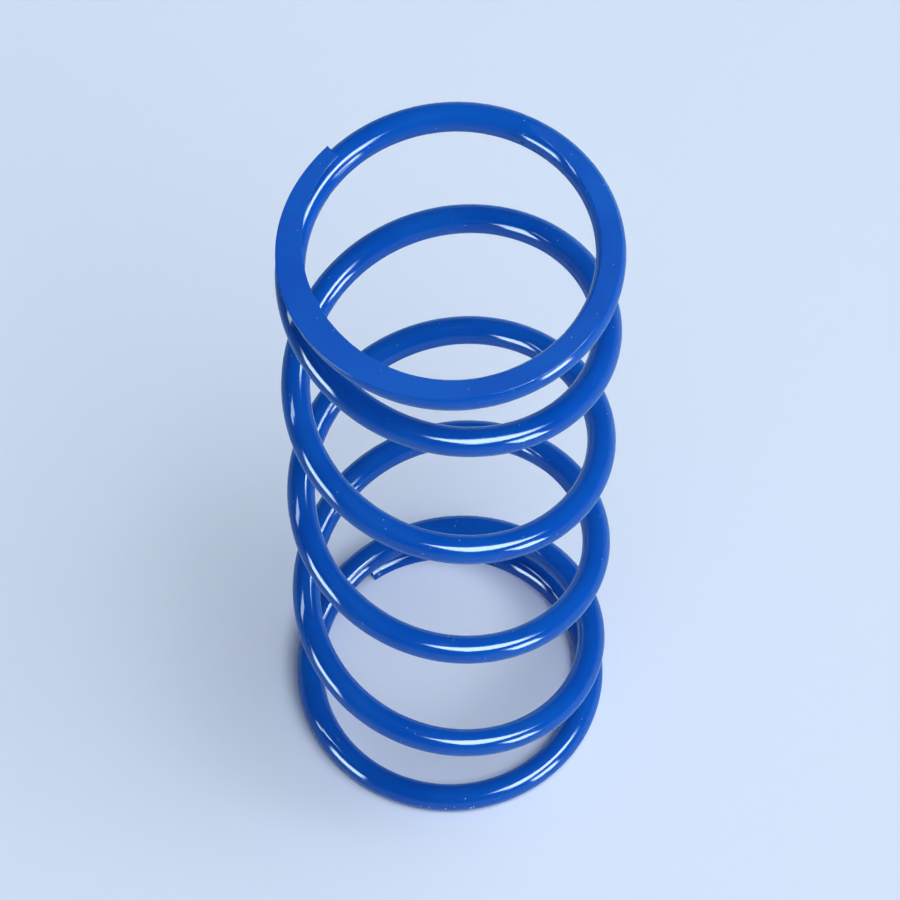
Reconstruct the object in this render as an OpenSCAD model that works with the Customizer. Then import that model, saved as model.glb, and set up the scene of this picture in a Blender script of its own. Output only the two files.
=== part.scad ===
// Left-hand compression spring of round wire, with closed and ground ends.
// It stands on its lower ground face, with its axis along Z and z = 0 in that face.

/* [Coil] */
// Outer diameter of the coil
outer_d = 60; // [40:0.5:90]
// Diameter of the round wire
wire_d = 5.2; // [3:0.1:7]
// Free length from one ground face to the other
free_l = 174; // [110:1:240]
// Turns of wire from tip to tip
turns = 5.97; // [5:0.01:9]
// Angle of the upper tip round the axis, from +X
tip_angle = 137; // [0:1:359]

/* [Ends] */
// Thickness of wire that grinding leaves at the upper tip
upper_tip_t = 0.7; // [0.5:0.1:2.4]
// Thickness of wire that grinding leaves at the lower tip
lower_tip_t = 1.7; // [0.5:0.1:2.4]
// Depth that grinding takes off the wire where an end turn runs level
ground_off = 0.6; // [0.2:0.1:1.2]
// Turns over which the wire comes down from its tip to that level
step_turns = 0.4; // [0.2:0.05:0.5]
// Turns from each tip to where the wire starts to lift away
closed_turns = 0.57; // [0.5:0.01:1]
// Turns over which the pitch then grows to that of the open coils
lift_turns = 0.8; // [0.4:0.05:1.2]

/* [Facets] */
// Sides of the wire's round section
wire_sides = 16; // [8:1:18]
// Sections in one turn of wire
turn_steps = 48; // [24:1:48]

/* [Hidden] */
paint = "#1a57b8";
wire_r = wire_d / 2;
coil_r = (outer_d - wire_d) / 2;
// How far the wire's centre lies inside the ground face, where it runs level
level_depth = wire_r - ground_off;
// How far the wire's centre stands above that at each tip
upper_step = level_depth + wire_r - upper_tip_t;
lower_step = level_depth + wire_r - lower_tip_t;
// Pitch of the open coils, which makes up the free length
open_turns = turns - 2 * closed_turns - lift_turns;
open_pitch = (free_l - 2 * level_depth) / open_turns;
steps = round(turns * turn_steps);

// Smooth change from 0 to 1, and its slope
function held(x) = min(1, max(0, x));
function ease(x) = let (s = held(x)) s * s * (3 - 2 * s);
function ease_slope(x) = let (s = held(x)) 6 * s * (1 - s);

// Turns of open pitch gathered up to a distance from the tip, in turns
function lifted(t) =
    let (s = max(0, (t - closed_turns) / lift_turns))
    lift_turns * (s < 1 ? pow(s, 3) - pow(s, 4) / 2 : s - 1 / 2);

// Depth of the wire's centre inside its ground face, and its pitch, at a distance from the tip
function depth_at(t, step) = level_depth - step * (1 - ease(t / step_turns)) + open_pitch * lifted(t);
function pitch_at(t, step) =
    step / step_turns * ease_slope(t / step_turns) + open_pitch * ease((t - closed_turns) / lift_turns);

// Each half of the wire is measured from its own tip
function upper_half(t) = t < turns / 2;
function slope_at(t) =
    atan2(upper_half(t) ? pitch_at(t, upper_step) : pitch_at(turns - t, lower_step), 2 * PI * coil_r);
function height_at(t) =
    upper_half(t) ? free_l - depth_at(t, upper_step) : depth_at(turns - t, lower_step);

// One section of the wire, square to the way that the wire runs
function section(t) =
    let (a = tip_angle + 360 * t)
    let (slope = slope_at(t))
    let (across = wire_r * [cos(a), sin(a), 0])
    let (up = wire_r * [-sin(a) * sin(slope), cos(a) * sin(slope), cos(slope)])
    let (centre = [coil_r * cos(a), coil_r * sin(a), height_at(t)])
    [for (i = [0 : wire_sides - 1])
        let (b = 360 * i / wire_sides)
        centre + across * cos(b) + up * sin(b)];

// The skin joins each section to the next, and both ends are sheared off square
module wound_wire() {
    sections = [for (k = [0 : steps]) section(turns * k / steps)];
    skin = [for (k = [0 : steps - 1], i = [0 : wire_sides - 1])
        let (a = k * wire_sides + i)
        let (b = k * wire_sides + (i + 1) % wire_sides)
        each [[a, b, a + wire_sides], [b, b + wire_sides, a + wire_sides]]];
    first_end = [for (i = [wire_sides - 1 : -1 : 0]) i];
    last_end = [for (i = [0 : wire_sides - 1]) steps * wire_sides + i];
    polyhedron([for (ring = sections, p = ring) p], concat(skin, [first_end, last_end]));
}

// What grinding takes away above or below the coil, from one face outwards
module ground_away(low_z) {
    translate([-outer_d, -outer_d, low_z]) cube([2 * outer_d, 2 * outer_d, 2 * wire_d]);
}

module spring() {
    color(paint) difference() {
        wound_wire();
        ground_away(free_l);
        ground_away(-2 * wire_d);
    }
}

spring();
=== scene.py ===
import math

import bmesh
import bpy
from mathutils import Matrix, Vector


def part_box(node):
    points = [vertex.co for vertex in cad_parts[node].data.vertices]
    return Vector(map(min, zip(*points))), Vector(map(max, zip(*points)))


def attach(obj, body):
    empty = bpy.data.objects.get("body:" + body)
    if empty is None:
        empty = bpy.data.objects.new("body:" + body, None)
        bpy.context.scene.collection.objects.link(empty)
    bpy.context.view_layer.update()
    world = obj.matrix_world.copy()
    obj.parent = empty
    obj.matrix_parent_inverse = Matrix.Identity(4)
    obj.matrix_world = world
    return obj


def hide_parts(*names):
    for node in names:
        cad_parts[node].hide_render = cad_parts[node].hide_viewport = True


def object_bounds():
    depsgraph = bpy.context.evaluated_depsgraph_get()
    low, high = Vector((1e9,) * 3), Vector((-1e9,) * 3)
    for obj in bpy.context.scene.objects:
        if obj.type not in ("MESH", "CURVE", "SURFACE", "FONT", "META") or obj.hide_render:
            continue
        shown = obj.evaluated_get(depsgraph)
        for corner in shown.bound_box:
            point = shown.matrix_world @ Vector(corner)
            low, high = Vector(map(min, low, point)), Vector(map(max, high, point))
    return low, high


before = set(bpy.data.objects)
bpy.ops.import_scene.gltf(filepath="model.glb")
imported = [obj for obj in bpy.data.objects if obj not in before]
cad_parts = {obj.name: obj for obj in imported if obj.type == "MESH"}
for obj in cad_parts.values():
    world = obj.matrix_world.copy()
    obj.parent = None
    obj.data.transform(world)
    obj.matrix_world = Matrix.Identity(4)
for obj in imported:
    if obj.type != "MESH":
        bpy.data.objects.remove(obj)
cadLow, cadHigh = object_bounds()
mm = 0.001
scene = bpy.context.scene
scene.view_settings.view_transform = "Standard"
print("frame loaded:", sorted(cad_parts))


# Camera

cameraSettings = {
    "place": (0, -0.46903, 1.02638),    # metres, as is the range that it sees
    "tilt": 26.79,                      # degrees from straight down
    "lens": 229.33,                     # mm, as is the sensor's width
    "sensor": 36,
    "clip": (0.05, 100),
}


def makeCamera(s):
    data = bpy.data.cameras.new("photoCamera")
    data.lens = s["lens"]
    data.sensor_width = s["sensor"]
    data.clip_start, data.clip_end = s["clip"]
    camera = bpy.data.objects.new("photoCamera", data)
    camera.location = s["place"]
    camera.rotation_euler = (math.radians(s["tilt"]), 0, 0)
    scene.collection.objects.link(camera)
    scene.camera = camera


makeCamera(cameraSettings)
print("camera set")


# Spring wire

springSettings = {
    "wire": 5.2,             # mm, as are the other lengths here
    "turns": 5.97,
    "tipAngle": 137,         # where the upper tip ends, degrees from +X
    "upperTip": 0.7,         # what grinding leaves of the wire at each tip
    "lowerTip": 1.7,
    "groundOff": 0.6,        # what it takes off where an end turn runs level
    "stepTurns": 0.4,        # where the wire comes down from its tip to that level
    "closedTurns": 0.57,     # where it starts to lift away
    "liftTurns": 0.8,
    "paintEdge": 0.18,       # how far the paint rounds a ground or sheared edge
    "burrLength": 0.9,       # point of steel left by the shears on the upper tip
    "burrWidth": 0.4,
    "ringsPerTurn": 144,
    "arcPoints": 33,
    "cornerPoints": 4,
    "flatShares": (-1, -0.94, -0.5, 0, 0.5, 0.94, 1),
    "leastFlat": 1,          # degrees either way that a flat's points keep where it has run out
    "settleTurns": 0.15,     # where the ring's points spread out again past a flat
    "endSteps": 4,           # rings that round a sheared end over
    "endInset": 0.98,        # share of the paint's edge that the end face is drawn in by
    "faceTolerance": 0.001,  # how near a point lies to the ground face to count as in it
    "searchSteps": 1000,     # to a turn, in looking for where a flat runs out
}


def springLaw(s):
    low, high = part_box("spring")
    law = {"length": (high.z - low.z) / mm}
    outer = max(high.x - low.x, high.y - low.y) / mm
    law["coilRadius"] = (outer - s["wire"]) / 2
    law["wireRadius"] = s["wire"] / 2
    law["levelDepth"] = law["wireRadius"] - s["groundOff"]
    law["upperStep"] = law["levelDepth"] + law["wireRadius"] - s["upperTip"]
    law["lowerStep"] = law["levelDepth"] + law["wireRadius"] - s["lowerTip"]
    openTurns = s["turns"] - 2 * s["closedTurns"] - s["liftTurns"]
    law["openPitch"] = (law["length"] - 2 * law["levelDepth"]) / openTurns
    return law


def held(x):
    return min(1, max(0, x))


# Smooth change from 0 to 1, and its slope
def ease(x):
    return held(x) ** 2 * (3 - 2 * held(x))


def easeSlope(x):
    return 6 * held(x) * (1 - held(x))


def pitchAt(s, law, fromTip, step):
    stepPitch = easeSlope(fromTip / s["stepTurns"]) * step / s["stepTurns"]
    return stepPitch + law["openPitch"] * ease((fromTip - s["closedTurns"]) / s["liftTurns"])


# How far the wire's centre lies inside the ground face of its own end
def depthAt(s, law, fromTip, step):
    x = max(0, (fromTip - s["closedTurns"]) / s["liftTurns"])
    gathered = s["liftTurns"] * (x ** 3 - x ** 4 / 2 if x < 1 else x - 0.5)
    tipRise = step * (1 - ease(fromTip / s["stepTurns"]))
    return law["levelDepth"] - tipRise + law["openPitch"] * gathered


# Where the wire is at a turn: its centre, the way it runs, and the way the nearer ground face looks
def wireFrame(s, law, turn):
    upper = turn < s["turns"] / 2
    fromTip = turn if upper else s["turns"] - turn
    step = law["upperStep"] if upper else law["lowerStep"]
    depth = depthAt(s, law, fromTip, step)
    slope = math.atan2(pitchAt(s, law, fromTip, step), 2 * math.pi * law["coilRadius"])
    a = math.radians(s["tipAngle"]) + 2 * math.pi * turn
    radial = Vector((math.cos(a), math.sin(a), 0))
    forward = Vector((-math.sin(a), math.cos(a), 0))
    along = forward * math.cos(slope) - Vector((0, 0, math.sin(slope)))
    up = forward * math.sin(slope) + Vector((0, 0, math.cos(slope)))
    centre = radial * law["coilRadius"]
    centre.z = law["length"] - depth if upper else depth
    side = 1 if upper else -1
    return {
        "centre": centre, "along": along, "across": radial * side, "up": up * side,
        "cut": depth / math.cos(slope), "upper": upper, "fromTip": fromTip, "turn": turn,
    }


# Points round the wire's section as (across, up), from one edge of the flat round to the other
def sectionOutline(s, law, cut, settled, inset=0):
    r = law["wireRadius"] - inset
    edge = s["paintEdge"] - inset
    shares = s["flatShares"]
    corner = [(k + 1) / (s["cornerPoints"] + 1) for k in range(s["cornerPoints"])]
    arc = [k / (s["arcPoints"] - 1) for k in range(s["arcPoints"])]
    smallest = math.radians(s["leastFlat"])
    if cut < law["wireRadius"]:
        half = math.acos((cut - s["paintEdge"]) / (law["wireRadius"] - s["paintEdge"]))
        half = max(half, smallest)
        reach = (r - edge) * math.sin(half)
        drop = (r - edge) * math.cos(half)
        bend = [
            (reach + edge * math.sin(half * c), drop + edge * math.cos(half * c)) for c in corner]
        points = [(reach * f, drop + edge) for f in shares]
        points += bend
        angles = [half + 2 * (math.pi - half) * f for f in arc]
        points += [(r * math.sin(b), r * math.cos(b)) for b in angles]
        points += [(-x, y) for x, y in reversed(bend)]
        return points
    angles = [smallest * f / 2 for f in shares]
    angles += [smallest * (1 + c) / 2 for c in corner]
    angles += [smallest + 2 * (math.pi - smallest) * f for f in arc]
    angles += [2 * math.pi - smallest * (1 + c) / 2 for c in reversed(corner)]
    count = len(angles)
    middle = (len(shares) - 1) / 2
    even = [2 * math.pi * (i - middle) / count for i in range(count)]
    mixed = [a + (b - a) * settled for a, b in zip(angles, even)]
    return [(r * math.sin(b), r * math.cos(b)) for b in mixed]


# Each point comes with its place in the wire, across, up and along it,
# and with whether it lies in the ground face
def placeRing(s, place, outline, shift=0, burr=None):
    ring = []
    side = 1 if place["upper"] else -1
    for x, y in outline:
        point = place["centre"] + place["across"] * x + place["up"] * y + place["along"] * shift
        if burr:
            far = (x - burr["x"]) ** 2 + (y - burr["y"]) ** 2
            point -= place["along"] * burr["length"] * math.exp(-far / burr["width"] ** 2)
        inFace = 1 if abs(y - place["cut"]) < s["faceTolerance"] else 0
        ring.append((point * mm, Vector((side * x, side * y, place["turn"])), inFace))
    if not place["upper"]:    # the lower half counts its points from the other side of the wire
        half = len(ring) // 2
        ring = ring[half:] + ring[:half]
    return ring


# Rings that round the sheared end over, from the wire to its end face
def endRings(s, law, turn):
    place = wireFrame(s, law, turn)
    outward = -1 if place["upper"] else 1
    burr = None
    if place["upper"]:
        edgeReach = math.sqrt(law["wireRadius"] ** 2 - place["cut"] ** 2)
        burr = {
            "x": edgeReach, "y": place["cut"], "length": s["burrLength"], "width": s["burrWidth"]}
    rings = []
    for k in range(s["endSteps"] + 1):
        angle = math.pi / 2 * k / s["endSteps"]
        inset = s["endInset"] * s["paintEdge"] * (1 - math.cos(angle))
        shift = outward * s["paintEdge"] * (math.sin(angle) - 1)
        outline = sectionOutline(s, law, place["cut"], 0, inset)
        rings.append(placeRing(s, place, outline, shift, burr))
    return rings


# Turns from a tip to where the wire has sunk clear of the grinding
def runOutTurns(s, law):
    k = 0
    while depthAt(s, law, k / s["searchSteps"], law["upperStep"]) <= law["wireRadius"]:
        k += 1
    return k / s["searchSteps"]


def buildSpring(s):
    law = springLaw(s)
    runOut = runOutTurns(s, law)
    steps = round(s["turns"] * s["ringsPerTurn"])
    rings = list(reversed(endRings(s, law, 0)))
    for k in range(1, steps):
        place = wireFrame(s, law, s["turns"] * k / steps)
        settled = ease((place["fromTip"] - runOut) / s["settleTurns"])
        outline = sectionOutline(s, law, place["cut"], settled)
        rings.append(placeRing(s, place, outline))
    rings += endRings(s, law, s["turns"])
    mesh = bmesh.new()
    grain = mesh.verts.layers.float_vector.new("wireGrain")
    face = mesh.verts.layers.float.new("groundFace")
    loops = []
    for ring in rings:
        loop = []
        for point, placeInWire, inFace in ring:
            vert = mesh.verts.new(point)
            vert[grain] = placeInWire
            vert[face] = inFace
            loop.append(vert)
        loops.append(loop)
    count = len(loops[0])
    for near, far in zip(loops, loops[1:]):
        for i in range(count):
            j = (i + 1) % count
            mesh.faces.new((near[i], near[j], far[j], far[i]))
    mesh.faces.new(loops[0])
    mesh.faces.new(reversed(loops[-1]))
    bmesh.ops.recalc_face_normals(mesh, faces=mesh.faces)
    for polygon in mesh.faces:
        polygon.smooth = True
    data = bpy.data.meshes.new("spring_wire")
    mesh.to_mesh(data)
    mesh.free()
    spring = bpy.data.objects.new("spring_wire", data)
    scene.collection.objects.link(spring)
    return spring


spring = buildSpring(springSettings)
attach(spring, "root")
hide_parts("spring")
print("spring wound:", len(spring.data.polygons), "faces")


# Blue paint

paintSettings = {
    "colour": (0.001, 0.074, 0.46, 1),
    "thinColour": (0.003, 0.094, 0.5, 1),    # where the coat is a little thinner and paler
    "ior": 1.5,
    "cloudScale": 90,
    "cloudDetail": 4,
    "thinRange": (0.35, 0.7),       # of the clouds, from full coat to thin
    "roughness": (0.02, 0.05),
    "roughRange": (0.3, 0.7),       # of the clouds, from glossy to less so
    "groundRoughness": 0.28,        # the ground faces are duller under their paint
    "dustColour": (0.35, 0.52, 0.78, 1),
    "dustSpacing": 1.9,             # mm, as are the other lengths here
    "dustSize": 0.11,
    "dustCore": 0.5,                # share of a grain that is at full strength
    "chipColour": (0.014, 0.03, 0.08, 1),
    "speckColour": (0.72, 0.82, 0.9, 1),
    "spotCore": 0.6,
    # turn, degrees round the wire from its outer side upwards, and radius
    "chips": ((0.786, 172, 0.5),),
    "specks": (
        (5.365, 6, 0.18), (5.391, 6, 0.2), (5.394, 10, 0.15),
        (5.386, 58, 0.11), (5.374, 20, 0.12), (5.348, 12, 0.11)),
    "drawingMarks": (2.2, 2.2, 3),  # to a millimetre across the wire, and to a turn along it
    "markDetail": 1,
    "markDepth": 0.02,
    "peelSize": 2.2,                # ripple of the sprayed coat
    "peelDetail": 0,
    "peelDepth": 0.004,
}


def addNoise(tree, vector, scale, detail):
    noise = tree.nodes.new("ShaderNodeTexNoise")
    noise.inputs["Scale"].default_value = scale
    noise.inputs["Detail"].default_value = detail
    tree.links.new(vector, noise.inputs["Vector"])
    return noise.outputs["Fac"]


def addRange(tree, value, fromEnds, toEnds=(0, 1)):
    mapped = tree.nodes.new("ShaderNodeMapRange")
    mapped.inputs["From Min"].default_value, mapped.inputs["From Max"].default_value = fromEnds
    mapped.inputs["To Min"].default_value, mapped.inputs["To Max"].default_value = toEnds
    tree.links.new(value, mapped.inputs["Value"])
    return mapped.outputs[0]


# One colour laid over another where a value is high
def addOver(tree, value, under, colour):
    mix = tree.nodes.new("ShaderNodeMix")
    mix.data_type = "RGBA"
    mix.inputs["B"].default_value = colour
    tree.links.new(value, mix.inputs["Factor"])
    tree.links.new(under, mix.inputs["A"])
    return mix.outputs["Result"]


def addScaled(tree, vector, scale):
    mapping = tree.nodes.new("ShaderNodeMapping")
    mapping.inputs["Scale"].default_value = scale
    tree.links.new(vector, mapping.inputs["Vector"])
    return mapping.outputs[0]


def addBump(tree, height, depth):
    bump = tree.nodes.new("ShaderNodeBump")
    bump.inputs["Distance"].default_value = depth * mm
    tree.links.new(height, bump.inputs["Height"])
    return bump


# Clouds of thinner coat show in the colour and in the gloss, and the ground faces are duller
def addCoat(tree, s, place, shader):
    clouds = addNoise(tree, place, s["cloudScale"], s["cloudDetail"])
    coat = tree.nodes.new("ShaderNodeValToRGB")
    for stop, position, colour in zip(
            coat.color_ramp.elements, s["thinRange"], (s["colour"], s["thinColour"])):
        stop.position = position
        stop.color = colour
    tree.links.new(clouds, coat.inputs[0])
    groundFace = tree.nodes.new("ShaderNodeAttribute")
    groundFace.attribute_name = "groundFace"
    dulled = tree.nodes.new("ShaderNodeMix")
    dulled.inputs["B"].default_value = s["groundRoughness"]
    tree.links.new(groundFace.outputs["Fac"], dulled.inputs["Factor"])
    tree.links.new(addRange(tree, clouds, s["roughRange"], s["roughness"]), dulled.inputs["A"])
    tree.links.new(dulled.outputs["Result"], shader.inputs["Roughness"])
    return coat.outputs[0]


# Grains of dust caught in the coat
def addDust(tree, s, place, colour):
    dust = tree.nodes.new("ShaderNodeTexVoronoi")
    dust.inputs["Scale"].default_value = 1 / (s["dustSpacing"] * mm)
    tree.links.new(place, dust.inputs["Vector"])
    size = s["dustSize"] / s["dustSpacing"]
    grains = addRange(tree, dust.outputs["Distance"], (size, s["dustCore"] * size))
    return addOver(tree, grains, colour, s["dustColour"])


# Chips and specks, each at its own place on the wire
def addSpots(tree, s, wire, colour):
    law = springLaw(springSettings)
    turnLength = 2 * math.pi * law["coilRadius"]
    unrolled = addScaled(tree, wire, (1, 1, turnLength))
    for spots, tone in ((s["chips"], s["chipColour"]), (s["specks"], s["speckColour"])):
        for turn, degrees, radius in spots:
            b = math.radians(degrees)
            far = tree.nodes.new("ShaderNodeVectorMath")
            far.operation = "DISTANCE"
            far.inputs[1].default_value = (
                law["wireRadius"] * math.cos(b), law["wireRadius"] * math.sin(b), turn * turnLength)
            tree.links.new(unrolled, far.inputs[0])
            spot = addRange(tree, far.outputs["Value"], (radius, s["spotCore"] * radius))
            colour = addOver(tree, spot, colour, tone)
    return colour


# Drawing marks along the wire, under the ripple of the spray
def addRelief(tree, s, place, wire):
    marks = addNoise(tree, addScaled(tree, wire, s["drawingMarks"]), 1, s["markDetail"])
    ripple = addNoise(tree, place, 1 / (s["peelSize"] * mm), s["peelDetail"])
    markBump = addBump(tree, marks, s["markDepth"])
    peelBump = addBump(tree, ripple, s["peelDepth"])
    tree.links.new(markBump.outputs[0], peelBump.inputs["Normal"])
    return peelBump.outputs[0]


def makePaint(s):
    paint = bpy.data.materials.new("bluePaint")
    paint.use_nodes = True
    tree = paint.node_tree
    shader = tree.nodes["Principled BSDF"]
    shader.inputs["IOR"].default_value = s["ior"]
    place = tree.nodes.new("ShaderNodeTexCoord").outputs["Object"]
    grain = tree.nodes.new("ShaderNodeAttribute")
    grain.attribute_name = "wireGrain"
    wire = grain.outputs["Vector"]
    colour = addCoat(tree, s, place, shader)
    colour = addDust(tree, s, place, colour)
    colour = addSpots(tree, s, wire, colour)
    tree.links.new(colour, shader.inputs["Base Color"])
    tree.links.new(addRelief(tree, s, place, wire), shader.inputs["Normal"])
    return paint


spring.data.materials.append(makePaint(paintSettings))
print("paint made")


# Floor

floorSettings = {
    "size": 40,                          # metres
    "colour": (0.665, 0.77, 0.935, 1),
    "mirrored": (0.4, 0.68, 0.92, 1),    # as the gloss shows it
    "roughness": 0.8,
}


def makeFloor(s):
    half = s["size"] / 2
    data = bpy.data.meshes.new("floor")
    corners = [(-half, -half, 0), (half, -half, 0), (half, half, 0), (-half, half, 0)]
    data.from_pydata(corners, [], [(0, 1, 2, 3)])
    floor = bpy.data.objects.new("floor", data)
    floor.location.z = cadLow.z
    scene.collection.objects.link(floor)
    card = bpy.data.materials.new("paleCard")
    card.use_nodes = True
    nodes, links = card.node_tree.nodes, card.node_tree.links
    shader = nodes["Principled BSDF"]
    ray = nodes.new("ShaderNodeLightPath")
    tone = nodes.new("ShaderNodeMix")
    tone.data_type = "RGBA"
    tone.inputs["A"].default_value = s["colour"]
    tone.inputs["B"].default_value = s["mirrored"]
    links.new(ray.outputs["Is Glossy Ray"], tone.inputs["Factor"])
    links.new(tone.outputs["Result"], shader.inputs["Base Color"])
    shader.inputs["Roughness"].default_value = s["roughness"]
    shader.inputs["Specular IOR Level"].default_value = 0
    data.materials.append(card)


makeFloor(floorSettings)
print("floor laid")


# Light

lightSettings = {
    "aim": (0, 0, 0.08),
    "glossColour": (0.7, 0.94, 1),
    "fillColour": (1, 1, 1),
    # azimuth from +Y towards +X, elevation, distance in metres,
    # width and height as angles, and radiance
    "glossBoxes": {    # seen in the gloss alone
        "keyBox": (118, 51, 3.0, 46, 25, 17),
        "edgeStrip": (-96, 42, 3.0, 5, 46, 8),
        "leftBox": (-121, 13, 3.0, 26, 30, 14),
        "rightBox": (125, 8, 3.0, 20, 32, 16),
    },
    "fillBoxes": {     # light the paint and the floor, and aren't seen in the gloss
        "skyBox": (120, 67, 3.0, 58, 58, 4.15),
    },
    "zenith": (0.04, 0.05, 0.06, 1),
    "horizon": (0.34, 0.5, 0.7, 1),
    "horizonBand": (0.08, 0.25),    # height over which one fades into the other
    "rimFade": 0.2,                 # share of a box's width over which it dims at each side
    "powerScale": 4,                # watts from a square metre at a radiance of 1
}


# A soft box is brightest in the middle of its cloth and fades towards its rim
def fadeTowardsEdges(s, tree):
    nodes, links = tree.nodes, tree.links
    spot = nodes.new("ShaderNodeNewGeometry")
    split = nodes.new("ShaderNodeSeparateXYZ")
    links.new(spot.outputs["Parametric"], split.inputs[0])
    fades = []
    for axis in ("X", "Y"):
        ramp = nodes.new("ShaderNodeValToRGB")
        ramp.color_ramp.interpolation = "EASE"
        stops = ramp.color_ramp.elements
        stops[0].position = 0
        stops[0].color = (0, 0, 0, 1)
        stops[1].position = s["rimFade"]
        stops[1].color = (1, 1, 1, 1)
        for position, level in ((1 - s["rimFade"], 1), (1, 0)):
            stops.new(position).color = (level, level, level, 1)
        links.new(split.outputs[axis], ramp.inputs[0])
        fades.append(ramp)
    both = nodes.new("ShaderNodeMath")
    both.operation = "MULTIPLY"
    for k, fade in enumerate(fades):
        links.new(fade.outputs[0], both.inputs[k])
    links.new(both.outputs[0], nodes["Emission"].inputs["Strength"])


def makeLight(s, name, colour, azimuth, elevation, distance, width, height, radiance):
    az, el = math.radians(azimuth), math.radians(elevation)
    towards = Vector((math.sin(az) * math.cos(el), math.cos(az) * math.cos(el), math.sin(el)))
    data = bpy.data.lights.new(name, "AREA")
    data.shape = "RECTANGLE"
    data.size = 2 * distance * math.tan(math.radians(width / 2))
    data.size_y = 2 * distance * math.tan(math.radians(height / 2))
    data.energy = s["powerScale"] * radiance * data.size * data.size_y
    data.color = colour
    data.use_nodes = True
    fadeTowardsEdges(s, data.node_tree)
    light = bpy.data.objects.new(name, data)
    light.location = Vector(s["aim"]) + towards * distance
    light.rotation_euler = towards.to_track_quat("Z", "Y").to_euler()
    light.visible_camera = False
    scene.collection.objects.link(light)
    return light


def makeWorld(s):
    world = bpy.data.worlds.new("studio")
    world.use_nodes = True
    nodes, links = world.node_tree.nodes, world.node_tree.links
    place = nodes.new("ShaderNodeTexCoord")
    split = nodes.new("ShaderNodeSeparateXYZ")
    ramp = nodes.new("ShaderNodeValToRGB")
    for stop, position, colour in zip(
            ramp.color_ramp.elements, s["horizonBand"], (s["horizon"], s["zenith"])):
        stop.position = position
        stop.color = colour
    links.new(place.outputs["Generated"], split.inputs[0])
    links.new(split.outputs["Z"], ramp.inputs[0])
    links.new(ramp.outputs[0], nodes["Background"].inputs["Color"])
    scene.world = world


for lightName, lightPlace in lightSettings["glossBoxes"].items():
    glossBox = makeLight(lightSettings, lightName, lightSettings["glossColour"], *lightPlace)
    glossBox.visible_diffuse = False
for lightName, lightPlace in lightSettings["fillBoxes"].items():
    fillBox = makeLight(lightSettings, lightName, lightSettings["fillColour"], *lightPlace)
    fillBox.visible_glossy = False
makeWorld(lightSettings)
print("lights placed")
